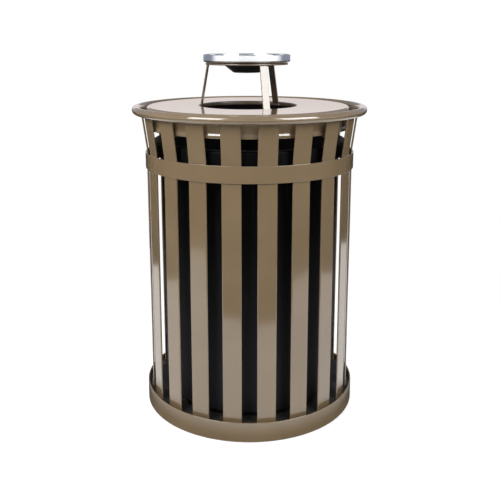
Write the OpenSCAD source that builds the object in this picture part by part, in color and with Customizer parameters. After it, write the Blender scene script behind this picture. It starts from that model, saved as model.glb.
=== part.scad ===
// Round outdoor litter receptacle: a cage of upright steel slats, a plastic liner,
// a flat lift-off lid and an ash tray that stands on three legs over the lid's hole.
// Z is up, the floor is at 0, and a gap between two slats faces the front at -Y.
// Azimuths are in degrees from the front, towards +X.

/* [Cage] */
// Diameter over the outer faces of the slats
cage_d = 580; // [520:1:640]
// Height of the top of the rim above the floor
rim_top_z = 866; // [760:1:960]
// Number of slats
slat_count = 20; // [16:1:24]
// Width of the flat bar of a slat
slat_w = 50.8; // [38:0.1:56]
// Thickness of the flat bar of a slat
slat_t = 5; // [4:0.5:8]
// Radius of the bend between the upright and the leaning part of a slat
slat_bend_r = 60; // [30:1:90]
// How far the slats lean out from the bend to the rim
slat_flare = 16; // [12:0.5:26]
// Diameter of the tube that the rim is rolled from
rim_tube_d = 22; // [18:1:28]
// Wall of the rim tube
rim_wall = 2; // [1.5:0.25:3]
// Diameter of the vent hole under the rim tube
rim_vent_d = 6; // [4:0.5:8]

/* [Upper band] */
// Height of the band's flat bar
band_h = 44; // [30:1:60]
// Thickness of the band's flat bar
band_t = 3; // [2.5:0.5:5]
// Distance from the top of the rim down to the top of the band
band_drop = 127; // [115:0.5:150]

/* [Base] */
// Height of the base ring's flat bar
base_h = 54; // [46:1:70]
// Thickness of the base ring's flat bar
base_t = 3.5; // [2.5:0.5:6]
// Gap between the slats and the base ring
base_gap = 10; // [3:0.5:14]
// Height of the base ring's lower edge above the floor, with the levellers screwed in
base_lift = 2.5; // [2:0.5:8]
// Distance from the top of the base ring down to the floor plate
plate_drop = 12.5; // [6:0.5:14]
// Thickness of the floor plate
plate_t = 4; // [3:0.5:6]
// Diameter of the hole for the ground anchor
anchor_hole_d = 14; // [10:0.5:20]
// Diameter of a drain hole
drain_d = 12; // [8:1:20]
// Number of drain holes
drain_count = 6; // [4:1:10]
// Distance of the drain holes from the centre
drain_r = 150; // [80:1:180]

/* [Levellers] */
// Thread diameter of a leveller stud
stud_d = 10; // [8:0.5:14]
// Distance of a leveller from the inner faces of the slats
leveller_inset = 50; // [35:1:80]
// Length of the threaded bush welded under the floor plate
bush_h = 20; // [16:1:22]
// Wall of the threaded bush
bush_wall = 4; // [3:0.5:6]
// Running clearance between stud and bush
thread_gap = 0.08; // [0.05:0.01:0.1]
// How far a stud's tip stays below the top of the floor plate
stud_tip_drop = 2; // [1:0.5:4]
// Width over the flats of a stud's hexagon
hex_w = 15; // [13:0.5:19]
// Height of a stud's hexagon
hex_h = 5; // [4:0.5:6]
// Diameter of a leveller pad
pad_d = 40; // [30:1:50]
// Height of a leveller pad
pad_h = 8; // [7:0.5:10]

/* [Liner] */
// Gap between the liner's rim and the slats
liner_gap = 13; // [8:0.5:30]
// Width of the liner's rolled rim, from the wall outwards
liner_rim_w = 21; // [18:0.5:30]
// Depth of the lip that hangs from the liner's rim
liner_lip_h = 37; // [20:1:60]
// Wall of the liner
liner_t = 3; // [2:0.5:4]
// Radius of the bends of the liner's rim
liner_rim_bend = 7; // [5:0.5:8]
// How much smaller the liner's radius is at its foot
liner_taper = 5; // [2:0.5:12]
// Radius of the liner's bottom corner
liner_corner = 18; // [8:1:30]
// Gap between the lid's skirt and the liner's rim
liner_drop = 32; // [15:1:60]

/* [Lid] */
// Clearance between the lid's edge and the inside of the rim
lid_gap = 22; // [20:0.5:30]
// How far the loose lid sits to the left of the centre
lid_shift = 4.5; // [0:0.5:6]
// Depth of the lid's top below the top of the rim
lid_drop = 1.5; // [0:0.5:8]
// Sheet thickness of the lid
lid_t = 2.5; // [1.5:0.5:4]
// Outer radius of the bend between the lid's top and its skirt
lid_bend = 7; // [5:0.5:10]
// Height of the lid, from its top to the bottom of its skirt
skirt_h = 60; // [40:1:70]
// Diameter of the rolled hem along the skirt's bottom
hem_d = 6; // [5:0.5:8]
// Diameter of the litter hole inside its flange
lid_hole_d = 272; // [262:1:330]
// Depth of the flange that is turned down round the litter hole
flange_h = 11; // [9:0.5:16]
// Outer radius of the bend at the litter hole
flange_bend = 4; // [3:0.5:5]
// Width of a lug that carries the lid
lug_w = 24; // [15:1:30]
// Thickness of the plates of a lug
lug_t = 5; // [4:0.5:7]
// Height of a lug's web
lug_h = 30; // [20:1:40]
// Clearance between a lug and the liner's rim
lug_clear = 3.5; // [2:0.5:5]

/* [Ash tray] */
// How far the welded tray sits to the left of the litter hole's centre
tray_shift = 3; // [0:0.5:5]
// Height of the pan's underside above the lid
tray_lift = 120; // [100:1:180]
// Outer diameter of the pan
pan_d = 242; // [232:1:262]
// Height of the pan
pan_h = 21; // [14:0.5:30]
// Sheet thickness of the pan
pan_t = 1.2; // [0.8:0.1:2]
// Radius of the pan's bottom corner
pan_corner = 4; // [3:0.5:6]
// Diameter of the rolled bead round the pan
bead_d = 4; // [3:0.25:5]
// Diameter of the drop hole in the pan
drop_hole_d = 60; // [40:1:90]
// Height of the collar round the drop hole
drop_collar_h = 5; // [3:0.5:8]
// How far the holder's edge stands inside the pan's edge
holder_inset = 6; // [4:0.5:12]
// Sheet thickness of the holder
holder_t = 2; // [1.5:0.5:3]
// Height of the holder's turned-down edge
holder_h = 6; // [5:0.5:12]
// Outer diameter of the well's mouth
well_d = 124; // [104:1:140]
// Outer diameter of the well's floor
well_floor_d = 74; // [50:1:90]
// Depth of the well below the holder
well_depth = 28; // [24:1:60]
// Depth of the well's upright neck below its flange
well_neck = 9; // [6:0.5:14]
// Width of the well's flange
well_flange_w = 10; // [6:0.5:14]
// Sheet thickness of the well
well_t = 1.5; // [1:0.25:2]
// Clearance round the well in the holder
well_clear = 1.5; // [1:0.25:3]
// Width of the flat bar of a leg
leg_w = 20; // [14:1:26]
// Thickness of the flat bar of a leg
leg_t = 4; // [3:0.5:5]
// Number of legs
leg_count = 3; // [3:1:4]
// Azimuth of the first leg
leg_azimuth = 22; // [0:1:60]
// Length of the tab at the top of a leg
leg_tab = 26; // [16:1:30]
// Length of the upright weld tab at the foot of a leg
leg_weld_tab = 7; // [5:0.5:8]

/* [Hidden] */
// Gap that a weld closes between two curved faces
weld_gap = 0.1;
LUGS = 4;
LEVELLERS = 4;
BEND_STEPS = 6;
EDGE_STEPS = 5;
LEAN_STEPS = 4;
$fn = 96;
coat = [0.49, 0.43, 0.35];
black = [0.1, 0.1, 0.1];
steel = [0.83, 0.84, 0.86];
zinc = [0.66, 0.67, 0.68];

slat_out_r = cage_d / 2;
slat_mid_r = slat_out_r - slat_t / 2;
slat_in_r = slat_out_r - slat_t;
slat_step = 360 / slat_count;
slat_corner_x = (slat_w - slat_t) / 2;

rim_r = rim_tube_d / 2;
rim_in_r = slat_out_r + slat_flare;
rim_mid_r = rim_in_r + rim_r;
rim_mid_z = rim_top_z - rim_r;

band_in_r = norm([slat_out_r, slat_corner_x]) + weld_gap;
band_z = rim_top_z - band_drop - band_h;

base_in_r = slat_out_r + base_gap;
plate_top_z = base_lift + base_h - plate_drop;
plate_z = plate_top_z - plate_t;

// The leaning part's outer face touches the arc of the bend and the rim tube
bend_z = rim_top_z - band_drop + 2;
bend_mid_r = slat_mid_r + slat_bend_r;
rim_reach = rim_r + weld_gap + rim_in_r - sqrt(pow(rim_in_r, 2) - pow(slat_w / 2, 2));
bend_reach = slat_bend_r - slat_t / 2;
to_rim = [rim_mid_r - bend_mid_r, rim_mid_z - bend_z];
lean = atan2(to_rim[0], to_rim[1]) - asin((rim_reach - bend_reach) / norm(to_rim));
lean_start = [bend_mid_r - slat_bend_r * cos(lean), bend_z + slat_bend_r * sin(lean)];
lean_l = (rim_mid_z - lean_start[1]) / cos(lean);
lean_in = lean_start + slat_t / 2 * [-cos(lean), sin(lean)];

lid_r = rim_in_r - lid_gap;
lid_top_z = rim_top_z - lid_drop;
skirt_z = lid_top_z - skirt_h;
hole_r = lid_hole_d / 2;

liner_rim_r = slat_in_r - liner_gap;
liner_r = liner_rim_r - liner_rim_w;
liner_top_z = skirt_z - liner_drop;
lug_in_r = liner_rim_r + lug_clear;

leveller_r = slat_in_r - leveller_inset;
bush_z = plate_z - bush_h;

pan_z = lid_top_z + tray_lift;
pan_r = pan_d / 2;
holder_top_z = pan_z - well_t;
holder_r = pan_r - holder_inset;
holder_hole_r = well_d / 2 + well_clear;

// The legs' flat outer faces stay inside the litter hole's flange and the holder's edge
leg_foot = [flat_in_ring(hole_r, 0) - leg_t / 2, lid_top_z - flange_bend];
leg_tab_z = holder_top_z - holder_t - leg_t / 2;

function slat_name(i) = str("slat_", i < 10 ? "0" : "", i);
function slat_azimuth(i) = slat_step * (i - 0.5);
function lug_azimuth(i) = slat_azimuth(1 + round(slat_count * (i - 0.5) / LUGS - 0.5));
function leveller_azimuth(i) = 360 / LEVELLERS * (i - 0.5);

function leg_turn(i) = leg_azimuth + 360 / leg_count * (i - 1);

// Distance from a ring's axis of a leg's flat outer face that just clears the ring's inner
// face, where the middle of the leg's width passes the axis at a distance to one side
function flat_in_ring(r, aside) = sqrt(pow(r - weld_gap, 2) - pow(leg_w / 2 + aside, 2));

// Radius of a leg's outer face at the holder's lower edge, as the holder sits to the left
function leg_edge_r(i) =
    flat_in_ring(holder_r - holder_t, tray_shift * abs(cos(leg_turn(i)))) - tray_shift * sin(leg_turn(i));

// Radius at which the middle of a leg's leaning shank meets its tab at the top
function leg_top_r(i) =
    let (
        rise = [leg_edge_r(i), holder_top_z - holder_h] - leg_foot,
        leg_lean = atan2(-rise[0], rise[1]) + asin(leg_t / 2 / norm(rise))
    )
    leg_foot[0] - (leg_tab_z - leg_foot[1]) * tan(leg_lean);

// Radius of the leaning inner face of a slat at height z
function lean_in_r(z) = lean_in[0] + (z - lean_in[1]) * tan(lean);

// Points on an arc round a centre, from one angle to another
function arc(centre, r, from, to) =
    [for (i = [0 : BEND_STEPS]) let (a = from + (to - from) * i / BEND_STEPS) centre + r * [cos(a), sin(a)]];

// Side of a path, at a distance to its left, with mitred corners
function path_side(path, d) = [
    for (i = [0 : len(path) - 1])
    let (
        before = path[max(i - 1, 0)],
        after = path[min(i + 1, len(path) - 1)],
        u = (path[i] - before) / max(norm(path[i] - before), 0.001),
        v = (after - path[i]) / max(norm(after - path[i]), 0.001),
        first = norm(u) > 0.5 ? u : v,
        last = norm(v) > 0.5 ? v : u,
        across = [-first[1] - last[1], first[0] + last[0]]
    )
    path[i] + d * across / (1 + first * last)
];

// Section of sheet or bar of one thickness that follows a path down its middle
module sheet(path, t) {
    there = path_side(path, t / 2);
    back = path_side(path, -t / 2);
    polygon(concat(there, [for (i = [len(back) - 1 : -1 : 0]) back[i]]));
}

// Turns a section in radius and height into a plate that stands at the front
module radial_plate(w) {
    rotate([90, 0, -90])
    linear_extrude(w, center = true)
    children();
}

// Flat bar with half-round edges, in section: X lies along its width and Y outwards
slat_section = [
    for (side = [1, -1], i = [0 : EDGE_STEPS])
    let (a = 90 * side - 180 * i / EDGE_STEPS)
    [side * slat_corner_x + slat_t / 2 * cos(a), slat_t / 2 * sin(a)]
];

// Radius, height and lean of the slat's middle line, from its foot to its top
slat_path = concat(
    [[slat_mid_r, plate_top_z, 0]],
    [
        for (i = [0 : LEAN_STEPS])
        let (a = lean * i / LEAN_STEPS)
        [bend_mid_r - slat_bend_r * cos(a), bend_z + slat_bend_r * sin(a), a]
    ],
    [[lean_start[0] + lean_l * sin(lean), rim_mid_z, lean]]
);

module slat(i) {
    n = len(slat_section);
    last = len(slat_path) - 1;
    points = [
        for (at = slat_path, p = slat_section)
        [p[0], -at[0] - p[1] * cos(at[2]), at[2] == 0 ? at[1] : at[1] - p[1] * sin(at[2])]
    ];
    sides = [
        for (ring = [0 : last - 1], k = [0 : n - 1])
        let (a = ring * n + k, b = ring * n + (k + 1) % n)
        each [[a, b + n, b], [a, a + n, b + n]]
    ];
    foot = [for (k = [1 : n - 2]) [0, k, k + 1]];
    top = [for (k = [1 : n - 2]) [last * n, last * n + k + 1, last * n + k]];
    color(coat)
    rotate([0, 0, slat_azimuth(i)])
    polyhedron(points, concat(sides, foot, top));
}

module rim_tube() {
    color(coat)
    difference() {
        rotate_extrude()
        translate([rim_mid_r, rim_mid_z])
        difference() {
            circle(r = rim_r, $fn = 48);
            circle(r = rim_r - rim_wall, $fn = 48);
        }
        translate([0, rim_mid_r, rim_mid_z - 2 * rim_r])
        cylinder(d = rim_vent_d, h = 2 * rim_r, $fn = 24);
    }
}

// Flat bar rolled into an upright ring
module bar_ring(in_r, t, h) {
    rotate_extrude()
    translate([in_r, 0])
    square([t, h]);
}

module upper_band() {
    color(coat)
    translate([0, 0, band_z])
    bar_ring(band_in_r, band_t, band_h);
}

module base_ring() {
    color(coat)
    translate([0, 0, base_lift])
    bar_ring(base_in_r, base_t, base_h);
}

// Copies its children round the axis at a radius
module around(count, r, start) {
    for (i = [0 : count - 1]) {
        rotate([0, 0, start + 360 / count * i])
        translate([0, -r, 0])
        children();
    }
}

module bottom_plate() {
    color(coat)
    translate([0, 0, plate_z])
    difference() {
        cylinder(r = base_in_r - weld_gap, h = plate_t);
        translate([0, 0, -plate_t])
        cylinder(d = anchor_hole_d, h = 3 * plate_t, $fn = 48);
        around(drain_count, drain_r, 0)
        translate([0, 0, -plate_t])
        cylinder(d = drain_d, h = 3 * plate_t, $fn = 48);
        around(LEVELLERS, leveller_r, leveller_azimuth(1))
        translate([0, 0, -plate_t])
        cylinder(d = stud_d + bush_wall, h = 3 * plate_t, $fn = 48);
    }
}

// A shelf that the lid's hem rests on, and a web under it, both cut to the slat's lean
module lid_lug(i) {
    shelf_z = skirt_z - lug_t;
    web_z = shelf_z - lug_h;
    color(coat)
    rotate([0, 0, lug_azimuth(i)]) {
        radial_plate(lug_w)
        polygon([
            [lug_in_r, shelf_z],
            [lean_in_r(shelf_z), shelf_z],
            [lean_in_r(skirt_z), skirt_z],
            [lug_in_r, skirt_z]
        ]);
        radial_plate(lug_t)
        polygon([
            [lean_in_r(web_z) - lug_t, web_z],
            [lean_in_r(web_z), web_z],
            [lean_in_r(skirt_z), skirt_z],
            [lug_in_r + lug_t, skirt_z],
            [lug_in_r + lug_t, shelf_z - lug_t]
        ]);
    }
}

module at_leveller(i) {
    rotate([0, 0, leveller_azimuth(i)])
    translate([0, -leveller_r, 0])
    children();
}

module leveller_bush(i) {
    color(coat)
    at_leveller(i)
    translate([0, 0, bush_z])
    difference() {
        cylinder(d = stud_d + 2 * bush_wall, h = bush_h, $fn = 48);
        translate([0, 0, -bush_h])
        cylinder(r = stud_d / 2 + thread_gap, h = 3 * bush_h, $fn = 48);
    }
}

module leveller_stud(i) {
    color(zinc)
    at_leveller(i) {
        translate([0, 0, pad_h / 2])
        cylinder(d = stud_d, h = plate_top_z - stud_tip_drop - pad_h / 2, $fn = 48);
        translate([0, 0, pad_h])
        cylinder(d = hex_w / cos(30), h = hex_h, $fn = 6);
    }
}

// The pad's upper edge is coned, and the stud's end stands in a blind socket
module leveller_pad(i) {
    color(black)
    at_leveller(i)
    rotate_extrude($fn = 64)
    polygon([
        [0, 0],
        [pad_d / 2, 0],
        [pad_d / 2, pad_h / 2],
        [hex_w * 0.7, pad_h],
        [stud_d / 2 + thread_gap, pad_h],
        [stud_d / 2 + thread_gap, pad_h / 2],
        [0, pad_h / 2]
    ]);
}

// A tapered tub whose wall turns out and down at the top
module liner() {
    wall_r = liner_r - liner_t / 2;
    foot_r = wall_r - liner_taper;
    corner = liner_corner - liner_t / 2;
    bend = liner_rim_bend - liner_t / 2;
    lip_r = liner_rim_r - liner_t / 2;
    top_z = liner_top_z - liner_t / 2;
    color(black)
    rotate_extrude()
    sheet(concat(
        [[0, plate_top_z + liner_t / 2]],
        arc([foot_r - corner, plate_top_z + liner_corner], corner, -90, 0),
        arc([wall_r + bend, top_z - bend], bend, 180, 90),
        arc([lip_r - bend, top_z - bend], bend, 90, 0),
        [[lip_r, liner_top_z - liner_lip_h]]
    ), liner_t);
}

module in_lid_place() {
    translate([-lid_shift, 0, 0])
    children();
}

module in_tray_place() {
    in_lid_place()
    translate([-tray_shift, 0, 0])
    children();
}

// A round rolled edge, by the radius and height of its middle
module bead_ring(r, z, d) {
    rotate_extrude()
    translate([r, z])
    circle(d = d, $fn = 32);
}

// One sheet, turned down round the hole and round the edge, with a rolled hem
module lid() {
    skirt_r = lid_r - lid_t / 2;
    edge_bend = lid_bend - lid_t / 2;
    hole_bend = flange_bend - lid_t / 2;
    flange_r = hole_r + lid_t / 2;
    mid_z = lid_top_z - lid_t / 2;
    color(coat)
    in_lid_place() {
        rotate_extrude()
        sheet(concat(
            [[flange_r, lid_top_z - flange_h]],
            arc([flange_r + hole_bend, mid_z - hole_bend], hole_bend, 180, 90),
            arc([skirt_r - edge_bend, mid_z - edge_bend], edge_bend, 90, 0),
            [[skirt_r, skirt_z + hem_d / 2]]
        ), lid_t);
        bead_ring(skirt_r, skirt_z + hem_d / 2, hem_d);
    }
}

// A tab under the holder, a leaning shank, and an upright tab on the hole's flange
module tray_leg(i) {
    color(coat)
    in_lid_place()
    rotate([0, 0, leg_turn(i)])
    radial_plate(leg_w)
    sheet([
        [leg_top_r(i) - leg_tab, leg_tab_z],
        [leg_top_r(i), leg_tab_z],
        leg_foot,
        leg_foot - [0, leg_weld_tab]
    ], leg_t);
}

// A ring of sheet with a turned-down edge
module tray_holder() {
    edge_r = holder_r - holder_t / 2;
    mid_z = holder_top_z - holder_t / 2;
    bend = holder_t;
    color(coat)
    in_tray_place()
    rotate_extrude()
    sheet(concat(
        [[holder_hole_r, mid_z]],
        arc([edge_r - bend, mid_z - bend], bend, 90, 0),
        [[edge_r, holder_top_z - holder_h]]
    ), holder_t);
}

// A coned cup that hangs by its flange on the holder
module ash_well() {
    neck_r = (well_d - well_t) / 2;
    flange_z = holder_top_z + well_t / 2;
    floor_z = holder_top_z - well_depth + well_t / 2;
    color(black)
    in_tray_place()
    rotate_extrude()
    sheet([
        [0, floor_z],
        [well_floor_d / 2, floor_z],
        [neck_r, flange_z - well_neck],
        [neck_r, flange_z],
        [neck_r + well_flange_w, flange_z]
    ], well_t);
}

// A shallow dish with a collar round its drop hole and a rolled bead round its edge
module ash_pan() {
    collar_r = (drop_hole_d + pan_t) / 2;
    wall_r = pan_r - pan_t / 2;
    floor_z = pan_z + pan_t / 2;
    corner = pan_corner - pan_t / 2;
    color(steel)
    in_tray_place() {
        rotate_extrude()
        sheet(concat(
            [[collar_r, pan_z + drop_collar_h], [collar_r, floor_z]],
            arc([wall_r - corner, floor_z + corner], corner, -90, 0),
            [[wall_r, pan_z + pan_h - bead_d / 2]]
        ), pan_t);
        bead_ring(pan_r - bead_d / 2, pan_z + pan_h - bead_d / 2, bead_d);
    }
}

rim_tube();
upper_band();
base_ring();
bottom_plate();
for (i = [1 : slat_count]) slat(i);
for (i = [1 : LUGS]) lid_lug(i);
for (i = [1 : LEVELLERS]) leveller_bush(i);
for (i = [1 : LEVELLERS]) leveller_stud(i);
for (i = [1 : LEVELLERS]) leveller_pad(i);
liner();
lid();
for (i = [1 : leg_count]) tray_leg(i);
tray_holder();
ash_well();
ash_pan();
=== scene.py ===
from math import asin, atan2, cos, hypot, pi, radians, sin, sqrt, tan

import bmesh
import bpy
import numpy as np
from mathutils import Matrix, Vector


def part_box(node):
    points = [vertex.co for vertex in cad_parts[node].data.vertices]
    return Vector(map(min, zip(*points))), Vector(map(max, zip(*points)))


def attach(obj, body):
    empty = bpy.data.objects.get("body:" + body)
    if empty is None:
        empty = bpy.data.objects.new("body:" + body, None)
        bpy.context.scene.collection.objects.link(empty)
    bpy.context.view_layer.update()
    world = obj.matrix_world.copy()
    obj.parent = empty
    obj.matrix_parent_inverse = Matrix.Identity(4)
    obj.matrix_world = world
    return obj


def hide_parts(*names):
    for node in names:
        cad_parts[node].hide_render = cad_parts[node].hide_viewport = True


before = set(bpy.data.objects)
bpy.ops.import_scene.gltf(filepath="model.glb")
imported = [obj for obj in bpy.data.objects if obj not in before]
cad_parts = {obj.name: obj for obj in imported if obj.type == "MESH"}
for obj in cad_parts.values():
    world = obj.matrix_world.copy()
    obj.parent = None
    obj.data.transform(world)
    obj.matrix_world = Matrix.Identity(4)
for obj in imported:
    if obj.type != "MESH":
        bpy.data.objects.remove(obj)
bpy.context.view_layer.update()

# Rim: a steel tube rolled into a ring and butt-welded at the back, where a small
# vent hole in its underside lets the oven's hot air out. The whole cage is one
# welded piece, powder-coated in a glossy taupe brown.
low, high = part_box("rim_tube")
rim_tube_r = (high.z - low.z) / 2
rim_r = high.x - rim_tube_r
rim_z = high.z - rim_tube_r
vent_r = 0.003
vent_floor_r = vent_r * 0.75
vent_depth = 0.0018
vent_reach = 0.014
vent_section_reach = 0.4
rim_seam_azimuth = radians(189)
rim_seam_w = 0.0022
rim_seam_h = 0.0003
seam_reach = 0.03
round_steps = 288
tube_steps = 48
deep_taupe = (0.190, 0.134, 0.074, 1)
pale_taupe = (0.208, 0.148, 0.084, 1)


def surface(name, grid, ring=False, capped=False):
    """Closed mesh over grids of points, shaped (solids, rows, columns, 3) or (rows, columns, 3).
    A face joins each four neighbours. Columns run round and meet, and rows do too in a ring.
    Otherwise the end rows are poles, whose points coincide, or get a flat cap."""
    grid = grid.reshape(-1, *grid.shape[-3:])
    at = np.arange(grid[..., 0].size).reshape(grid.shape[:3])
    here = at if ring else at[:, :-1]
    there = np.roll(at, -1, 1) if ring else at[:, 1:]
    squares = np.stack([here, np.roll(here, -1, 2), np.roll(there, -1, 2), there], -1)
    faces = squares.reshape(-1, 4).tolist()
    if capped:
        faces += at[:, 0, ::-1].tolist() + at[:, -1].tolist()
    mesh = bpy.data.meshes.new(name)
    mesh.from_pydata(grid.reshape(-1, 3), [], faces)
    work = bmesh.new()
    work.from_mesh(mesh)
    bmesh.ops.remove_doubles(work, verts=work.verts, dist=1e-6)
    if work.calc_volume(signed=True) < 0:
        bmesh.ops.reverse_faces(work, faces=work.faces)
    work.to_mesh(mesh)
    work.free()
    mesh.shade_smooth()
    piece = bpy.data.objects.new(name, mesh)
    bpy.context.scene.collection.objects.link(piece)
    return piece


def turned(r, z, azimuth, centre_x=0.0, aside=0.0):
    """Points at radius r and height z, turned from the front about the upright axis at centre_x
    and moved aside, level and square to the radius:
    x = centre + r sin(azimuth) + aside cos(azimuth), y = -r cos(azimuth) + aside sin(azimuth)."""
    r, z, azimuth, aside = np.broadcast_arrays(r, z, azimuth, aside)
    x = centre_x + r * np.sin(azimuth) + aside * np.cos(azimuth)
    y = -r * np.cos(azimuth) + aside * np.sin(azimuth)
    return np.stack([x, y, z], -1)


def smooth(value, start, end):
    """0 up to start, 1 from end, and the cubic 3t^2 - 2t^3 between."""
    t = np.clip((value - start) / (end - start), 0, 1)
    return t * t * (3 - 2 * t)


class Wire:
    """A node's output. Sums, differences and products of wires add Math nodes."""

    def __init__(self, nodes, socket):
        self.nodes = nodes
        self.socket = socket

    def math(self, operation, first, second):
        return self.nodes.add("Math", {"operation": operation}, {0: first, 1: second})

    def __add__(self, other):
        return self.math("ADD", self, other)

    __radd__ = __add__

    def __mul__(self, other):
        return self.math("MULTIPLY", self, other)

    __rmul__ = __mul__

    def __sub__(self, other):
        return self.math("SUBTRACT", self, other)

    def __rsub__(self, other):
        return self.math("SUBTRACT", other, self)

    def fade(self, start, end):
        """0 up to start, 1 from end, and a smooth change between."""
        settings = {"interpolation_type": "SMOOTHSTEP"}
        return self.nodes.add("MapRange", settings, {"Value": self, "From Min": start, "From Max": end})

    def within(self, rise, fall):
        """Rises from 0 to 1 over one pair of values, and falls back to 0 over another."""
        return self.fade(*rise) * (1 - self.fade(*fall))


class Nodes:
    """The node tree of a material or a world, while it is made."""

    def __init__(self, owner):
        owner.use_nodes = True
        self.owner = owner
        self.tree = owner.node_tree
        self.tree.nodes.clear()

    def add(self, kind, settings=None, sockets=None, output=0):
        """A node of a kind, with its settings, and the values or wires of its sockets."""
        node = self.tree.nodes.new("ShaderNode" + kind)
        for name, value in (settings or {}).items():
            setattr(node, name, value)
        for name, value in (sockets or {}).items():
            if isinstance(value, Wire):
                self.tree.links.new(value.socket, node.inputs[name])
            else:
                node.inputs[name].default_value = value
        return Wire(self, node.outputs[output]) if node.outputs else None

    def mix(self, factor, first, second):
        """A colour between two colours."""
        return self.add("Mix", {"data_type": "RGBA"}, {0: factor, 6: first, 7: second}, 2)

    def noise(self, at, scale, detail):
        """Cloudy values between 0 and 1, finer with a greater scale or detail."""
        return self.add("TexNoise", {}, {"Vector": at, "Scale": scale, "Detail": detail})

    def bump(self, height, distance, **under):
        """The normal of a surface raised by height times distance, over the bump under it."""
        return self.add("Bump", {}, {"Distance": distance, "Height": height, **under})

    def part(self, vector, axis):
        """One coordinate of a vector."""
        return self.add("SeparateXYZ", {}, {"Vector": vector}, axis)

    def finish(self, **sockets):
        """The surface's shader. A socket's name is written with _ for a space."""
        named = {name.replace("_", " "): value for name, value in sockets.items()}
        shader = self.add("BsdfPrincipled", {}, named)
        self.add("OutputMaterial", {}, {"Surface": shader})
        return self.owner


def new_finish(name):
    """The empty nodes of a material, and the wire of a point's place on the object."""
    nodes = Nodes(bpy.data.materials.new(name))
    return nodes, nodes.add("TexCoord", output="Object")


def orange_peel(nodes, at):
    """The normal of sprayed and baked powder: fine dimples, under the gentle waves of the sheet."""
    peel = nodes.noise(at, 420, 2)
    waves = nodes.noise(at, 22, 1)
    return nodes.bump(waves, 1.2e-4, Normal=nodes.bump(peel, 6e-6))


def powder_coat(name):
    """Glossy powder coat: two close tones in slow clouds, on orange peel."""
    nodes, at = new_finish(name)
    clouds = nodes.noise(at, 7, 3)
    return nodes.finish(
        Base_Color=nodes.mix(clouds.fade(0.3, 0.7), deep_taupe, pale_taupe),
        Roughness=0.10 + 0.05 * clouds,
        Specular_IOR_Level=1.0,
        Coat_Weight=0.8,
        Coat_Roughness=0.03,
        Normal=orange_peel(nodes, at),
    )


coat = powder_coat("taupe_powder_coat")

round_azimuths = np.linspace(0, 2 * pi, round_steps, endpoint=False)
over_seam = np.linspace(-seam_reach, seam_reach, 31)
vent_azimuths = pi + np.linspace(-vent_reach, vent_reach, 29)
rim_azimuths = np.unique(np.concatenate([round_azimuths, vent_azimuths, rim_seam_azimuth + over_seam]))
under = -pi / 2 + np.linspace(-vent_section_reach, vent_section_reach, 27)
section_angles = np.concatenate([np.linspace(-pi, pi, tube_steps, endpoint=False), under])
section_angles = np.unique(section_angles)[:, None]
from_vent = np.hypot(rim_r * (rim_azimuths - pi), rim_tube_r * (section_angles + pi / 2))
from_seam = rim_r * (rim_azimuths - rim_seam_azimuth)
# The tube's radius: less in the vent's dent, and more over the weld, by exp(-(distance / width)^2)
tube_r = (
    rim_tube_r
    - vent_depth * (1 - smooth(from_vent, vent_floor_r, vent_r))
    + rim_seam_h * np.exp(-((from_seam / rim_seam_w) ** 2))
)
rim = surface(
    "rim_roll",
    turned(rim_r + tube_r * np.cos(section_angles), rim_z + tube_r * np.sin(section_angles), rim_azimuths),
    ring=True,
)
rim.data.materials.append(coat)
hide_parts("rim_tube")
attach(rim, "cage")

# Slats: twenty flat bars with half-round edges. Each stands upright on the floor
# plate, and leans out from a bend near the top until its end meets the rim.
slat_w = 0.0508
slat_t = 0.005
slat_r = 0.2875
slat_bend_r = 0.060
slat_bend_z = 0.741
slat_count = 20
slat_foot_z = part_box("bottom_plate")[1].z
bar_ease = 0.0006
weld_gap = 0.0001
guard = 0.0003


def bend(corners, radii, steps=10):
    """Path of radius and height through corners, with an arc of its own radius at each inner one.
    Each row is a point and the path's left-hand normal. A row a guard's length from each end of
    an arc keeps the straight beside it flat to the eye."""
    corners = np.array(corners, float)
    along = np.diff(corners, axis=0)
    along /= np.linalg.norm(along, axis=1)[:, None]
    left = np.stack([-along[:, 1], along[:, 0]], 1)
    rows = [np.r_[corners[0], left[0]], np.r_[corners[0] + guard * along[0], left[0]]]
    for k, radius in enumerate(radii):
        side = np.sign(along[k] @ -left[k + 1])
        turn = np.arccos(np.clip(along[k] @ along[k + 1], -1, 1))
        start = corners[k + 1] - radius * tan(turn / 2) * along[k]
        end = corners[k + 1] + radius * tan(turn / 2) * along[k + 1]
        angle = side * np.linspace(0, turn, steps + 1)[:, None]
        normal = np.cos(angle) * left[k] - np.sin(angle) * along[k]
        rows.append(np.r_[start - guard * along[k], left[k]])
        rows.extend(np.hstack([start + side * radius * (left[k] - normal), normal]))
        rows.append(np.r_[end + guard * along[k + 1], left[k + 1]])
    rows.append(np.r_[corners[-1] - guard * along[-1], left[-1]])
    rows.append(np.r_[corners[-1], left[-1]])
    return np.array(rows)


def corner_arcs(width, thickness, edge, steps=7):
    """The section of flat bar: centres c and directions u = (cos a, sin a) of the points
    c + edge * u on its four corner arcs. One more point, a guard's length past each end of an
    arc, keeps the flat beside it flat to the eye."""
    a = np.arange(4)[:, None] * pi / 2 + np.r_[0, np.linspace(0, pi / 2, steps), pi / 2]
    half = np.array([width, thickness]) / 2 - edge
    reach = np.minimum(guard, half[::-1])
    shift = np.zeros(a.shape)
    shift[:, 0] = -reach[np.arange(4) % 2]
    shift[:, -1] = reach[(np.arange(4) + 1) % 2]
    corners = np.array([[1, 1], [-1, 1], [-1, -1], [1, -1]])[:, None] * half
    centres = corners + shift[..., None] * np.stack([-np.sin(a), np.cos(a)], -1)
    return centres.reshape(-1, 2), np.stack([np.cos(a), np.sin(a)], -1).reshape(-1, 2)


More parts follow.
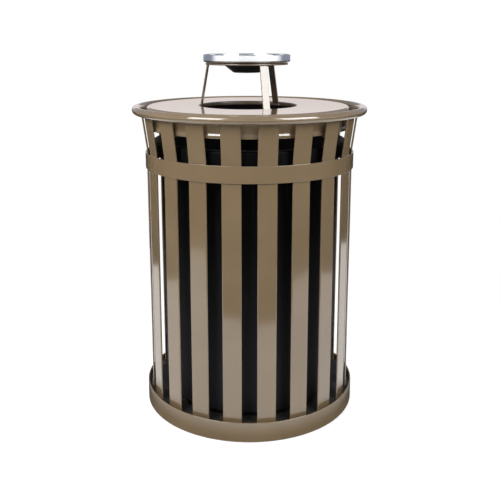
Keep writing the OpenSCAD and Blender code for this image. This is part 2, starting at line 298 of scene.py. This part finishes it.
def bar(name, path, width, thickness, edge, azimuth, centre_x=0.0):
    """Flat bar along a path in the upright plane at an azimuth: its section, carried along the
    path square to it. At a distance of bar_ease (1 - sin b) from an end the arcs' radius is less
    by bar_ease (1 - cos b), which eases the end's edges."""
    centres, directions = corner_arcs(width, thickness, edge)
    b = np.linspace(pi / 2, 0, 5)
    from_end = np.append(bar_ease * (1 - np.sin(b)), bar_ease + guard)[:, None]
    end_inset = np.append(bar_ease * (1 - np.cos(b)), 0)[:, None]
    tangents = np.stack([path[:, 3], -path[:, 2]], 1)
    first = np.hstack([path[0, :2] + from_end * tangents[0], path[0, 2:] + 0 * from_end])
    last = np.hstack([path[-1, :2] - from_end * tangents[-1], path[-1, 2:] + 0 * from_end])[::-1]
    middle = path[2:-2]
    inset = np.concatenate([end_inset, np.zeros((len(middle), 1)), end_inset[::-1]])
    rows = np.concatenate([first, middle, last])[:, None]
    section = centres + (edge - inset)[..., None] * directions
    r = rows[..., 0] + section[..., 1] * rows[..., 2]
    z = rows[..., 1] + section[..., 1] * rows[..., 3]
    return surface(name, turned(r, z, azimuth, centre_x, section[..., 0]), capped=True)


# The lean that lays the slats' bent ends against the rim's inner side
rim_in_r = rim_r - rim_tube_r
rim_reach = rim_r + weld_gap - sqrt(rim_in_r**2 - (slat_w / 2) ** 2)
bend_reach = slat_bend_r - slat_t / 2
to_rim = (rim_r - slat_r - slat_bend_r, rim_z - slat_bend_z)
lean = atan2(*to_rim) + asin((bend_reach - rim_reach) / hypot(*to_rim))
slat_corner_z = slat_bend_z + slat_bend_r * tan(lean / 2)
slat_top_r = slat_r + (rim_z - slat_corner_z) * tan(lean)
slat_path = bend([(slat_r, slat_foot_z), (slat_r, slat_corner_z), (slat_top_r, rim_z)], [slat_bend_r])
slat_azimuths = 2 * pi / slat_count * (np.arange(slat_count) + 0.5)
for i, azimuth in enumerate(slat_azimuths, 1):
    slat = bar(f"slat_bar_{i:02d}", slat_path, slat_w, slat_t, slat_t / 2, azimuth)
    slat.data.materials.append(coat)
    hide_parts(f"slat_{i:02d}")
    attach(slat, "cage")

# Upper band and base ring: flat bars rolled into upright rings, with eased edges.
# The band lies on the slats, and the base ring stands a little outside their feet.
band_t = 0.003
base_t = 0.0035
ring_edge = 0.0008
ring_seam_azimuth = radians(171)
ring_seam_w = 0.0025
ring_seam_h = 0.00025


def bar_ring(name, node, thickness):
    """Upright ring of flat bar in a node's place: its section turned about the axis, with arcs
    that grow by exp(-(distance / width)^2) over the ground-down weld at its seam."""
    bottom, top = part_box(node)
    middle_r = top.x - thickness / 2
    middle_z = (top.z + bottom.z) / 2
    centres, directions = corner_arcs(thickness, top.z - bottom.z, ring_edge, steps=6)
    azimuths = np.unique(np.concatenate([round_azimuths, ring_seam_azimuth + over_seam]))
    seam = np.exp(-((middle_r * (azimuths - ring_seam_azimuth) / ring_seam_w) ** 2))
    edge = ring_edge + ring_seam_h * seam
    r = middle_r + centres[:, :1] + edge * directions[:, :1]
    z = middle_z + centres[:, 1:] + edge * directions[:, 1:]
    return surface(name, turned(r, z, azimuths), ring=True)


for name, node, thickness in (("band_bar", "upper_band", band_t), ("base_bar", "base_ring", base_t)):
    ring = bar_ring(name, node, thickness)
    ring.data.materials.append(coat)
    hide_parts(node)
    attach(ring, "cage")

# Floor plate: a flat steel disc welded into the base ring. It has six drain holes,
# a hole for a ground anchor, and one over each leveller. Its cut edges are broken,
# and its top is painted dark in patches, and dulled, as shade in the gap under the liner.
plate_edge = 0.0005
plate_skin = 0.001
clean_taupe = (0.199, 0.141, 0.079, 1)
plate_shade_black = (0.012, 0.010, 0.008, 1)


def dress_node(name, edge, material):
    """Joins a CAD node's triangles, bevels its sharp edges and gives it a material."""
    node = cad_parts[name]
    join = node.modifiers.new("join", "WELD")
    join.merge_threshold = 1e-6
    bevel = node.modifiers.new("broken_edges", "BEVEL")
    bevel.width = edge
    bevel.segments = 2
    bevel.limit_method = "ANGLE"
    bevel.angle_limit = radians(40)
    node.data.materials.clear()
    node.data.materials.append(material)


def plate_shaded_coat(name, top_z):
    """The cage's coat, with shade painted dark in patches, and dulled, in the skin of plate below top_z."""
    nodes, at = new_finish(name)
    on_top = nodes.part(at, "Z").fade(top_z - plate_skin, top_z)
    # Painted shade in noisy patches on the plate's top
    plate_shade = on_top * nodes.noise(at, 30, 4).fade(0.1, 0.45)
    grit = nodes.noise(at, 700, 3)
    return nodes.finish(
        Base_Color=nodes.mix(plate_shade, clean_taupe, plate_shade_black),
        Roughness=0.13 + 0.5 * plate_shade,
        Specular_IOR_Level=1.0,
        Coat_Weight=0.8 - 0.8 * plate_shade,
        Coat_Roughness=0.03,
        Normal=nodes.bump(grit, 1.5e-5),
    )


dress_node("bottom_plate", plate_edge, plate_shaded_coat("plate_shaded_taupe_coat", slat_foot_z))

# Lid lugs: a shelf and a web of cut plate, welded to the inner faces of four slats
# under the flare. The lid's hem rests on them, just above the liner.
lug_edge = 0.0008
for i in range(1, 5):
    dress_node(f"lid_lug_{i}", lug_edge, coat)

# Leveller bushes: turned steel bushes with a fine chamfer, welded under the floor
# plate and coated with the cage.
bush_edge = 0.0007
for i in range(1, 5):
    dress_node(f"leveller_bush_{i}", bush_edge, coat)

# Cage welds: beads under the rim on every slat, down the slats' edges behind the
# band, at both faces of each slat's foot, and in stitches round the floor plate.
# They were laid before the cage was coated.
slat_bead_reach = 0.44
rim_bead_r = 0.0022
rim_bead_below = 0.006
band_bead_r = 0.0017
band_bead_l = 0.026
band_bead_aside = 0.0003
foot_bead_r = 0.0021
plate_bead_r = 0.0024
plate_stitches = 16
stitch_reach = 0.05
stitch_in = 0.0005
stitch_below = 0.0004
bead_out = 0.0012
bead_rise = 0.0006
ripple_l = 0.0016
ripple_h = 0.07
askew = (0.3, 0.4, 1.0)


def beads(points, radius, sides=10):
    """Weld beads along paths of points, shaped (beads, rows, 3). Each is a tube round its path,
    set square to it by a cross product with askew, a direction that no path takes. Its radius
    ripples as 1 + ripple_h sin(2 pi s / ripple_l) over its length s, and falls to nothing at its
    ends as the root of 1 - u^8, with u from -1 to 1."""
    tangent = np.gradient(points, axis=1)
    step = np.linalg.norm(tangent, axis=2, keepdims=True)
    tangent = tangent / step
    sideways = np.cross(tangent, askew)
    sideways = sideways / np.linalg.norm(sideways, axis=2, keepdims=True)
    upwards = np.cross(sideways, tangent)
    u = np.linspace(-1, 1, points.shape[1])[None, :, None]
    ripple = 1 + ripple_h * np.sin(2 * pi * np.cumsum(step, 1) / ripple_l)
    swell = radius * ripple * np.sqrt(1 - u**8)
    b = np.linspace(0, 2 * pi, sides, endpoint=False)[:, None]
    tube = np.cos(b) * sideways[:, :, None] + np.sin(b) * upwards[:, :, None]
    return points[:, :, None] + swell[:, :, None] * tube


def on_slats(r, z, aside):
    """Points at radius r, height z and a distance aside on every slat, shaped (slats, rows, 3)."""
    return turned(r, z, slat_azimuths[:, None], aside=aside)


over_slat = np.linspace(-slat_bead_reach, slat_bead_reach, 61) * slat_w
rim_bead_at = slat_top_r + slat_t / 2 - rim_bead_below * sin(lean) + bead_out
rim_beads = beads(on_slats(rim_bead_at, rim_z - rim_bead_below, over_slat), rim_bead_r)
foot_bead_z = slat_foot_z + bead_rise
foot_in = beads(on_slats(slat_r - slat_t / 2 - bead_rise, foot_bead_z, over_slat), foot_bead_r)
foot_out = beads(on_slats(slat_r + slat_t / 2 + bead_rise, foot_bead_z, over_slat), foot_bead_r)
band_low, band_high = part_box("upper_band")
band_z = (band_low.z + band_high.z) / 2 + np.linspace(-0.5, 0.5, 61) * band_bead_l
band_side = slat_w / 2 + band_bead_aside
band_beads = [beads(on_slats(slat_r + bead_out, band_z, side * band_side), band_bead_r) for side in (-1, 1)]
stitch = 2 * pi / plate_stitches * (np.arange(plate_stitches)[:, None] + 0.5)
stitch = stitch + np.linspace(-stitch_reach, stitch_reach, 61)
plate_low, plate_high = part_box("bottom_plate")
stitches = beads(turned(plate_high.x - stitch_in, plate_low.z - stitch_below, stitch), plate_bead_r)
welds = surface("cage_welds", np.concatenate([rim_beads, foot_in, foot_out, *band_beads, stitches]))
welds.data.materials.append(coat)
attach(welds, "cage")

# Levellers: zinc-plated studs with a rolled thread and a chamfered hexagon, each
# screwed into its bush from below, with its end in the socket of a rubber pad.
stud_r = 0.005
stud_chamfer = 0.001
thread_pitch = 0.0015
thread_depth = 0.0009
thread_run_in = 0.002
hexagon_w = 0.015
hexagon_h = 0.005
hexagon_slope = 1.7
pad_edge = 0.0012
pad_groove = 0.0006
pad_shoulder = 0.0005
pad_top_r = hexagon_w * 0.7
pad_top_edge = 0.0004
socket_gap = 0.00008
socket_r = stud_r + socket_gap


def zinc_plate(name):
    """Bright zinc with a bluish pale film in soft patches, and fine pores."""
    nodes, at = new_finish(name)
    patches = nodes.noise(at, 140, 3)
    pores = nodes.noise(at, 2600, 2)
    return nodes.finish(
        Base_Color=nodes.mix(patches.fade(0.35, 0.65), (0.52, 0.54, 0.56, 1), (0.66, 0.66, 0.64, 1)),
        Metallic=1.0,
        Roughness=0.28 + 0.2 * patches,
        Normal=nodes.bump(pores, 8e-6),
    )


def moulded_rubber(name):
    """Dull black rubber with a fine cloudy bloom."""
    nodes, at = new_finish(name)
    bloom = nodes.noise(at, 90, 4)
    grain = nodes.noise(at, 1500, 3)
    return nodes.finish(
        Base_Color=nodes.mix(bloom.fade(0.4, 0.75), (0.014, 0.014, 0.014, 1), (0.030, 0.029, 0.028, 1)),
        Roughness=0.62 + 0.2 * bloom,
        Normal=nodes.bump(grain, 2e-5),
    )


zinc = zinc_plate("zinc_plate")
rubber = moulded_rubber("pad_rubber")
for i in range(1, 5):
    stud_low, stud_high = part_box(f"leveller_stud_{i}")
    pad_low, pad_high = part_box(f"leveller_pad_{i}")
    centre = np.array([(stud_low.x + stud_high.x) / 2, (stud_low.y + stud_high.y) / 2, 0])
    pad_top_z = pad_high.z
    hexagon_top_z = pad_top_z + hexagon_h

    # Thread: the radius falls and rises with z / pitch - turn, as a triangle with a flat root
    z = np.linspace(stud_low.z, stud_high.z, 230)[:, None]
    turn = np.linspace(0, 1, 24, endpoint=False)
    flank = np.abs((z / thread_pitch - turn) % 1 - 0.5) * 2
    run_in = smooth(z, hexagon_top_z, hexagon_top_z + thread_run_in)
    chamfer = np.clip(stud_chamfer - (stud_high.z - z), 0, None)
    r = stud_r - thread_depth * run_in * smooth(1 - flank, 0.1, 0.9) - chamfer
    thread = surface(f"leveller_thread_{i}", turned(r, z, 2 * pi * turn) + centre, capped=True)

    # Hexagon: its radius is apothem / cos of the angle from the nearest flat's middle,
    # cut back by a cone at the top and the bottom
    z = pad_top_z + hexagon_h * np.r_[0, np.linspace(0, 1, 13), 1][:, None]
    turn = np.linspace(0, 2 * pi, 96, endpoint=False)
    six = hexagon_w / 2 / np.cos((turn + pi / 6) % (pi / 3) - pi / 6)
    cone = hexagon_w / 2 + np.minimum(z - pad_top_z, hexagon_top_z - z) * hexagon_slope
    r = np.minimum(six, cone)
    r[0], r[-1] = 0, 0
    hexagon = surface(f"leveller_hexagon_{i}", turned(r, z, turn) + centre)
    for piece in (thread, hexagon):
        piece.data.materials.append(zinc)
        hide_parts(f"leveller_stud_{i}")
        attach(piece, f"leveller_{i}")

    # Pad: a coned rubber disc with a rounded edge, a groove round it and a socket on top
    pad_r = (pad_high.x - pad_low.x) / 2
    b = np.linspace(0, pi, 7)
    outline = np.concatenate([
        [(0, 0), (pad_r - pad_edge, 0)],
        np.stack([pad_r - pad_edge + pad_edge * np.sin(b / 2), pad_edge * (1 - np.cos(b / 2))], 1),
        np.stack([pad_r - pad_groove * np.sin(b), pad_top_z / 4 + pad_groove * (1 - np.cos(b))], 1),
        [(pad_r, pad_top_z / 2 - pad_shoulder), (pad_r - pad_shoulder, pad_top_z / 2)],
        [(pad_top_r + pad_top_edge, pad_top_z - pad_top_edge / 2), (pad_top_r, pad_top_z)],
        [(socket_r, pad_top_z), (socket_r, pad_top_z / 2), (0, pad_top_z / 2)],
    ])
    around = np.linspace(0, 2 * pi, 72, endpoint=False)
    pad = surface(f"leveller_foot_{i}", turned(outline[:, :1], outline[:, 1:], around) + centre)
    pad.data.materials.append(rubber)
    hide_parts(f"leveller_pad_{i}")
    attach(pad, f"leveller_{i}")

# Liner: a tapered tub of black polyethylene that stands on the floor plate. Its
# wall turns out at the top into a rolled rim with a deep lip, for lifting it out.
liner_t = 0.003
liner_rim_w = 0.021
liner_lip_h = 0.037
liner_taper = 0.005
liner_corner_r = 0.0165
liner_rim_bend = 0.0055


def wall(path, thickness, steps=6):
    """Outline of sheet round a path down its middle: its left side, a half-round end and its
    right side back, and a half-round start unless it starts on the axis."""
    point, normal = path[:, :2], path[:, 2:]
    half = thickness / 2
    turn = np.linspace(0, pi, steps + 1)[1:-1, None]
    forward = np.stack([normal[:, 1], -normal[:, 0]], 1)
    end = point[-1] + half * (np.cos(turn) * normal[-1] + np.sin(turn) * forward[-1])
    start = point[0] - half * (np.cos(turn) * normal[0] + np.sin(turn) * forward[0])
    sides = [point + half * normal, end, (point - half * normal)[::-1]]
    return np.concatenate(sides if point[0, 0] == 0 else sides + [start])


def lathe(name, outline, centre_x=0.0):
    """Outline of radius and height turned about the upright axis at centre_x. One that starts
    and ends on the axis closes there, and any other joins its own ends."""
    grid = turned(outline[:, :1], outline[:, 1:], round_azimuths, centre_x)
    return surface(name, grid, ring=outline[:, 0].min() > 0)


def polyethylene(name):
    """Black moulded polyethylene: a fine matt grain, greyer towards the foot as a painted
    reflection of the pale floor, and pale upright scuffs from being lifted in and out."""
    nodes, at = new_finish(name)
    stretched = nodes.add("Mapping", {}, {"Vector": at, "Scale": (1.0, 1.0, 0.03)})
    scuffs = nodes.noise(stretched, 130, 4).fade(0.52, 0.72)
    clouds = nodes.noise(at, 9, 3)
    grain = nodes.noise(at, 900, 2)
    # Greyer towards the foot: a painted reflection of the pale floor
    dust_and_floor_sheen = 1 - nodes.part(at, "Z").fade(0.05, 0.65)
    unscuffed = nodes.mix(dust_and_floor_sheen, (0.005, 0.005, 0.005, 1), (0.032, 0.030, 0.033, 1))
    return nodes.finish(
        Base_Color=nodes.mix(0.5 * scuffs * clouds, unscuffed, (0.030, 0.028, 0.032, 1)),
        Roughness=0.34 + 0.16 * clouds + 0.12 * scuffs,
        Specular_IOR_Level=0.04,
        Normal=nodes.bump(grain, 2e-5),
    )


liner_low, liner_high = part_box("liner")
rim_out_r = liner_high.x - liner_t / 2
wall_r = liner_high.x - liner_rim_w - liner_t / 2
liner_top_z = liner_high.z - liner_t / 2
liner_path = bend(
    [
        (0, liner_low.z + liner_t / 2),
        (wall_r - liner_taper, liner_low.z + liner_t / 2),
        (wall_r, liner_top_z),
        (rim_out_r, liner_top_z),
        (rim_out_r, liner_high.z - liner_lip_h + liner_t / 2),
    ],
    [liner_corner_r, liner_rim_bend, liner_rim_bend],
)
liner = lathe("liner_tub", wall(liner_path, liner_t))
liner.data.materials.append(polyethylene("black_polyethylene"))
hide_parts("liner")
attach(liner, "liner")

# Lid: one pressing of steel sheet, a flat disc with a round litter hole. Its edge
# turns down into a skirt with a curled hem, and the hole's into a short flange. Shade is
# painted dark brown on the faces turned to the hole's axis. It lies loose on the lugs, a little to the
# left.
lid_t = 0.0025
lid_bend = 0.00575
flange_bend = 0.00275
flange_h = 0.011
hole_r = 0.136
hem_r = 0.00175
hem_lead = 0.0045
hem_bend = 0.003
painted_shade_brown = (0.040, 0.024, 0.012, 1)


def arc(centre, radius, start, end, steps=14):
    """Rows of a path round an arc, with its left-hand normals. It turns left where end > start."""
    angle = np.linspace(start, end, steps + 1)[:, None]
    outwards = np.hstack([np.cos(angle), np.sin(angle)])
    return np.hstack([centre + radius * outwards, -np.sign(end - start) * outwards])


def way_from_axis(nodes, at, centre_x):
    """The level way to each point from the upright axis at centre_x."""
    return nodes.add("Mapping", {}, {"Vector": at, "Location": (-centre_x, 0, 0), "Scale": (1, 1, 0)})


def axis_shaded_coat(name, centre_x, outside):
    """The cage's coat, with shade painted dark brown, and the coat dulled, where it faces the
    upright axis at centre_x: where the normal's dot product with the way from the axis is
    negative. Its other sides get the share of that painted shade called outside."""
    nodes, at = new_finish(name)
    dot = {0: way_from_axis(nodes, at, centre_x), 1: nodes.add("NewGeometry", output="Normal")}
    outwards = nodes.add("VectorMath", {"operation": "DOT_PRODUCT"}, dot, "Value")
    patches = nodes.noise(at, 40, 4).fade(0.3, 0.7)
    # Painted shade: full on faces turned to the axis, the share outside elsewhere, in faint patches
    painted_shade = (1 - (1 - outside) * outwards.fade(-0.06, -0.01)) * (0.7 + 0.3 * patches)
    clouds = nodes.noise(at, 7, 3)
    fresh = nodes.mix(clouds.fade(0.3, 0.7), deep_taupe, pale_taupe)
    return nodes.finish(
        Base_Color=nodes.mix(painted_shade, fresh, painted_shade_brown),
        Roughness=0.10 + 0.05 * clouds + 0.25 * painted_shade,
        Specular_IOR_Level=1.0,
        Coat_Weight=0.8 - 0.6 * painted_shade,
        Coat_Roughness=0.03,
        Normal=orange_peel(nodes, at),
    )


lid_low, lid_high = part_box("lid")
lid_x = (lid_low.x + lid_high.x) / 2
skirt_r = (lid_high.x - lid_low.x) / 2 - hem_r - lid_t / 2
hem_z = lid_low.z + hem_r + lid_t / 2
lid_path = bend(
    [
        (hole_r + lid_t / 2, lid_high.z - flange_h + lid_t / 2),
        (hole_r + lid_t / 2, lid_high.z - lid_t / 2),
        (skirt_r, lid_high.z - lid_t / 2),
        (skirt_r, hem_z + 2 * hem_lead),
        (skirt_r + hem_r, hem_z + hem_lead),
        (skirt_r + hem_r, hem_z),
    ],
    [flange_bend, lid_bend, hem_bend, hem_bend],
)
hem_curl = arc((skirt_r, hem_z), hem_r, 0, -pi)
lid = lathe("lid_pressing", wall(np.concatenate([lid_path[:-1], hem_curl]), lid_t), lid_x)
lid_coat = axis_shaded_coat("axis_shaded_taupe_coat", lid_x, outside=0.0)
lid.data.materials.append(lid_coat)
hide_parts("lid")
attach(lid, "lid")

# Tray legs: three flat bars, bent to a tab under the holder and an upright tab on
# the litter hole's flange, and welded at both ends. Shade is painted dark brown on
# the faces that they turn to the hole.
leg_w = 0.020
leg_t = 0.004
leg_edge = 0.0007
leg_bend_r = 0.005
leg_foot_bend_r = 0.012
leg_turn = radians(22)
leg_azimuths = leg_turn + np.arange(3) * 2 * pi / 3
leg_tab = 0.026
leg_weld_tab = 0.007
leg_foot_below = 0.004
leg_bead_r = 0.0016
leg_bead_aside = 0.0004
leg_bead_end = 0.001
holder_low, holder_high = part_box("tray_holder")
holder_t = 0.002
holder_x = (holder_low.x + holder_high.x) / 2
holder_r = (holder_high.x - holder_low.x) / 2


def flat_in_ring(r, aside=0.0):
    """Distance from a ring's axis of a leg's flat outer face that just clears the ring's inner
    face, where the middle of the leg's width passes the axis at a distance to one side."""
    return sqrt((r - weld_gap) ** 2 - (leg_w / 2 + aside) ** 2)


foot_r = flat_in_ring(hole_r) - leg_t / 2
foot_z = lid_high.z - leg_foot_below
rise_z = holder_low.z - foot_z
tab_z = holder_high.z - holder_t - leg_t / 2
tray_shift = lid_x - holder_x
for i, azimuth in enumerate(leg_azimuths, 1):
    edge_r = flat_in_ring(holder_r - holder_t, tray_shift * abs(cos(azimuth)))
    edge_r = edge_r - tray_shift * sin(azimuth)
    leg_lean = atan2(foot_r - edge_r, rise_z) + asin(leg_t / 2 / hypot(foot_r - edge_r, rise_z))
    top_r = foot_r - (tab_z - foot_z) * tan(leg_lean)
    leg_path = bend(
        [(top_r - leg_tab, tab_z), (top_r, tab_z), (foot_r, foot_z), (foot_r, foot_z - leg_weld_tab)],
        [leg_bend_r, leg_foot_bend_r],
    )
    leg = bar(f"leg_bar_{i}", leg_path, leg_w, leg_t, leg_edge, azimuth, lid_x)
    leg.data.materials.append(lid_coat)
    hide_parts(f"tray_leg_{i}")
    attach(leg, "lid")
bead_z = np.linspace(foot_z - leg_weld_tab + leg_bead_end, foot_z - leg_bead_end, 25)
aside = (leg_w / 2 + leg_bead_aside) * np.array([-1, 1])[:, None, None]
places = turned(foot_r + leg_t / 2 - bead_rise, bead_z, leg_azimuths[:, None], lid_x, aside)
leg_welds = surface("leg_welds", beads(places.reshape(-1, *places.shape[-2:]), leg_bead_r))
leg_welds.data.materials.append(coat)
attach(leg_welds, "lid")

# Tray holder: a ring of sheet with a turned-down edge, welded on the tabs of the
# legs and coated with them. The pan's shade is painted dark brown all round it.
holder_bend = 0.002
holder_hole_r = 0.0635
holder_path = bend(
    [
        (holder_hole_r, holder_high.z - holder_t / 2),
        (holder_r - holder_t / 2, holder_high.z - holder_t / 2),
        (holder_r - holder_t / 2, holder_low.z + holder_t / 2),
    ],
    [holder_bend],
)
holder = lathe("holder_ring", wall(holder_path, holder_t), holder_x)
holder.data.materials.append(axis_shaded_coat("shaded_holder_coat", holder_x, outside=0.75))
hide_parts("tray_holder")
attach(holder, "lid")

# Ash well: a coned cup, pressed from thin sheet and enamelled satin black. It hangs
# by its flange in the holder, under the pan's drop hole.
well_t = 0.0015
well_low, well_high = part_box("ash_well")
well_neck_out_r = 0.062
well_neck_r = well_neck_out_r - well_t / 2
well_floor_r = 0.037
well_neck_h = 0.009
well_floor_bend = 0.005
well_cone_bend = 0.004
well_flange_bend = 0.0015


def satin_enamel(name):
    """Black satin enamel, a little grey with dust and old ash."""
    nodes, at = new_finish(name)
    dust_and_floor_sheen = nodes.noise(at, 60, 5)
    grain = nodes.noise(at, 1200, 2)
    return nodes.finish(
        Base_Color=nodes.mix(dust_and_floor_sheen.fade(0.35, 0.75), (0.030, 0.032, 0.032, 1), (0.045, 0.048, 0.048, 1)),
        Roughness=0.34 + 0.2 * dust_and_floor_sheen,
        Normal=nodes.bump(grain, 1.5e-5),
    )


well_path = bend(
    [
        (0, well_low.z + well_t / 2),
        (well_floor_r, well_low.z + well_t / 2),
        (well_neck_r, well_high.z - well_t / 2 - well_neck_h),
        (well_neck_r, well_high.z - well_t / 2),
        ((well_high.x - well_low.x) / 2 - well_t / 2, well_high.z - well_t / 2),
    ],
    [well_floor_bend, well_cone_bend, well_flange_bend],
)
well = lathe("well_cup", wall(well_path, well_t), holder_x)
well.data.materials.append(satin_enamel("black_satin_enamel"))
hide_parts("ash_well")
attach(well, "ash_well")

# Ash pan: a shallow dish spun from stainless sheet, with a curled rim and a drop
# hole with a raised collar. It lies loose on the well's flange.
pan_t = 0.0012
pan_corner_r = 0.0034
curl_r = 0.0014
drop_hole_r = 0.030
collar_h = 0.005
collar_bend = 0.0012


def spun_steel(name, centre_x):
    """Stainless steel with the fine rings that spinning leaves round its axis: noise along the
    distance from the axis and the height, bright and slightly bluish."""
    nodes, at = new_finish(name)
    way = way_from_axis(nodes, at, centre_x)
    radius = nodes.add("VectorMath", {"operation": "LENGTH"}, {0: way}, "Value")
    rings_at = nodes.add("CombineXYZ", {}, {"X": radius, "Y": nodes.part(at, "Z")})
    rings = nodes.noise(rings_at, 1400, 3)
    smears = nodes.noise(at, 38, 4)
    return nodes.finish(
        Base_Color=nodes.mix(smears.fade(0.3, 0.7), (0.90, 0.91, 0.92, 1), (0.96, 0.96, 0.96, 1)),
        Metallic=1.0,
        Roughness=0.14 + 0.05 * rings + 0.03 * smears,
        Normal=nodes.bump(rings, 1.2e-5),
    )


pan_low, pan_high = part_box("ash_pan")
pan_r = (pan_high.x - pan_low.x) / 2
pan_path = bend(
    [
        (drop_hole_r + pan_t / 2, pan_low.z + collar_h - pan_t / 2),
        (drop_hole_r + pan_t / 2, pan_low.z + pan_t / 2),
        (pan_r - pan_t / 2, pan_low.z + pan_t / 2),
        (pan_r - pan_t / 2, pan_high.z - pan_t / 2 - curl_r),
    ],
    [collar_bend, pan_corner_r],
)
curl = arc((pan_r - pan_t / 2 - curl_r, pan_high.z - pan_t / 2 - curl_r), curl_r, 0, 1.5 * pi)
pan = lathe("pan_dish", wall(np.concatenate([pan_path[:-1], curl]), pan_t), holder_x)
pan.data.materials.append(spun_steel("spun_stainless", holder_x))
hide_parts("ash_pan")
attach(pan, "ash_pan")

# Camera: a little above the rim and looking slightly down, as in the photograph.
camera_tilt = 11.15
camera_data = bpy.data.cameras.new("camera")
camera_data.sensor_width = 36
camera_data.lens = 51.48
camera_data.shift_x = 0.001
camera_data.shift_y = -0.137
camera = bpy.data.objects.new("camera", camera_data)
camera.location = (0, -2.021, 1.0424)
camera.rotation_euler = (radians(90 - camera_tilt), 0, 0)
bpy.context.scene.collection.objects.link(camera)
bpy.context.scene.camera = camera

# Floor: a pale studio floor, which takes the can's soft shadow close by and is plain
# white to the camera further off. In the coat's gloss it shows a painted shadow under
# the can, then a white sheet laid a little askew, and dim beyond, with one white card at the back.
floor_half = 16.0
sheet_left = -1.40
sheet_right = 1.52
sheet_front = -1.06
sheet_back = 1.50
sheet_front_skew = 0.08
sheet_left_skew = 0.198
sheet_edge = 0.04
under_can_r = 0.32
under_can_edge = 0.1
shadow_lift = 0.62
plain_white = (1, 1, 1, 1)
floor_mesh = bpy.data.meshes.new("studio_floor")
corners = [(-floor_half, -floor_half, 0), (floor_half, -floor_half, 0)]
corners += [(floor_half, floor_half, 0), (-floor_half, floor_half, 0)]
floor_mesh.from_pydata(corners, [], [(0, 1, 2, 3)])
floor = bpy.data.objects.new("studio_floor", floor_mesh)
bpy.context.scene.collection.objects.link(floor)
nodes, at = new_finish("studio_floor")
x, y = nodes.part(at, "X"), nodes.part(at, "Y")
far = nodes.add("VectorMath", {"operation": "LENGTH"}, {0: at}, "Value")
to_camera = nodes.add("LightPath", output="Is Camera Ray")
to_gloss = nodes.add("LightPath", output="Is Glossy Ray")
matt = nodes.add("BsdfDiffuse", {}, {"Color": (0.55, 0.55, 0.55, 1)})
lift = nodes.add("Emission", {}, {"Color": plain_white, "Strength": shadow_lift * to_camera})
near = nodes.add("AddShader", {}, {0: matt, 1: lift})
beyond = nodes.add("Emission", {}, {"Color": plain_white, "Strength": 1.0})
seen = nodes.add("MixShader", {}, {0: to_camera * far.fade(0.5, 1.4), 1: near, 2: beyond})
from_left = x - sheet_left_skew * y
from_front = y - sheet_front_skew * x
on_sheet = (
    from_left.fade(sheet_left - sheet_edge, sheet_left + sheet_edge)
    * from_front.fade(sheet_front - sheet_edge, sheet_front + sheet_edge)
    * (1 - x.fade(sheet_right - sheet_edge, sheet_right + sheet_edge))
    * (1 - y.fade(sheet_back - sheet_edge, sheet_back + sheet_edge))
)
# Painted shadow of the can, seen only in gloss: dark under the can
out_of_shade = far.fade(under_can_r, under_can_r + under_can_edge)
sheet = nodes.mix(out_of_shade, (0.05, 0.05, 0.05, 1), plain_white)
card = x.within((0.2, 0.4), (0.9, 1.3)) * y.fade(0.6, 1.0)
dim = nodes.mix(y.fade(0.0, 0.8), (0.06, 0.06, 0.065, 1), (0.02, 0.02, 0.02, 1))
dim = nodes.mix(card, dim, (0.9, 0.9, 0.9, 1))
mirrored = nodes.add("Emission", {}, {"Color": nodes.mix(on_sheet, dim, sheet), "Strength": 1.0})
floor_shader = nodes.add("MixShader", {}, {0: to_gloss, 1: seen, 2: mirrored})
nodes.add("OutputMaterial", {}, {"Surface": floor_shader})
floor.data.materials.append(nodes.owner)

# Studio: white all round to the camera. Gloss shows it cool grey, with a low white
# band behind the can and a brighter one in front. Two soft boxes stand at the front
# corners, and two more, at the left side and behind, don't show in gloss.
aim_z = 0.6
world = bpy.data.worlds.new("studio")
bpy.context.scene.world = world
nodes = Nodes(world)
towards = nodes.add("TexCoord", output="Generated")
x, y, z = (nodes.part(towards, axis) for axis in "XYZ")
sideways = nodes.add("Math", {"operation": "ABSOLUTE"}, {0: x})
back = (1 - sideways.fade(0.3, 0.5)) * y.fade(0.2, 0.5) * z.within((0.015, 0.04), (0.14, 0.22))
front = (1 - y.fade(-0.15, 0.35)) * z.within((-0.05, -0.03), (0.03, 0.08))
back_colour = nodes.mix(z.fade(0.085, 0.105), (0.83, 0.74, 0.72, 1), (0.93, 0.87, 0.86, 1))
gloss = nodes.mix(z.fade(-0.06, -0.04), (0.05, 0.05, 0.055, 1), (0.28, 0.31, 0.38, 1))
gloss = nodes.mix(z.fade(0.25, 0.5), gloss, (0.26, 0.27, 0.30, 1))
gloss = nodes.mix(front, gloss, (1.8, 1.8, 1.8, 1))
gloss = nodes.mix(back, gloss, back_colour)
colour = nodes.mix(nodes.add("LightPath", output="Is Glossy Ray"), (0.24, 0.24, 0.25, 1), gloss)
for ray in ("Is Camera Ray", "Is Transmission Ray"):
    colour = nodes.mix(nodes.add("LightPath", output=ray), colour, plain_white)
background = nodes.add("Background", {}, {"Color": colour, "Strength": 1.0})
nodes.add("OutputWorld", {}, {"Surface": background})


def soft_box(name, azimuth, elevation, distance, size, power, in_gloss=True):
    """Square lamp that looks at the upper half of the can from an azimuth and an elevation."""
    lamp_data = bpy.data.lights.new(name, "AREA")
    lamp_data.size = size
    lamp_data.energy = power
    lamp = bpy.data.objects.new(name, lamp_data)
    level = distance * cos(elevation)
    lamp.location = (level * sin(azimuth), -level * cos(azimuth), aim_z + distance * sin(elevation))
    lamp.rotation_euler = (pi / 2 - elevation, 0, azimuth)
    lamp.visible_camera = False
    lamp.visible_glossy = in_gloss
    bpy.context.scene.collection.objects.link(lamp)


soft_box("soft_box_right", radians(48), radians(31), 3.0, 1.8, 66)
soft_box("soft_box_left", radians(-42), radians(31), 3.0, 1.6, 57)
soft_box("soft_box_side", radians(-85), radians(31), 3.0, 1.6, 42, in_gloss=False)
soft_box("soft_box_back", radians(172), radians(38), 4.0, 1.8, 60, in_gloss=False)
bpy.context.scene.view_settings.view_transform = "Standard"
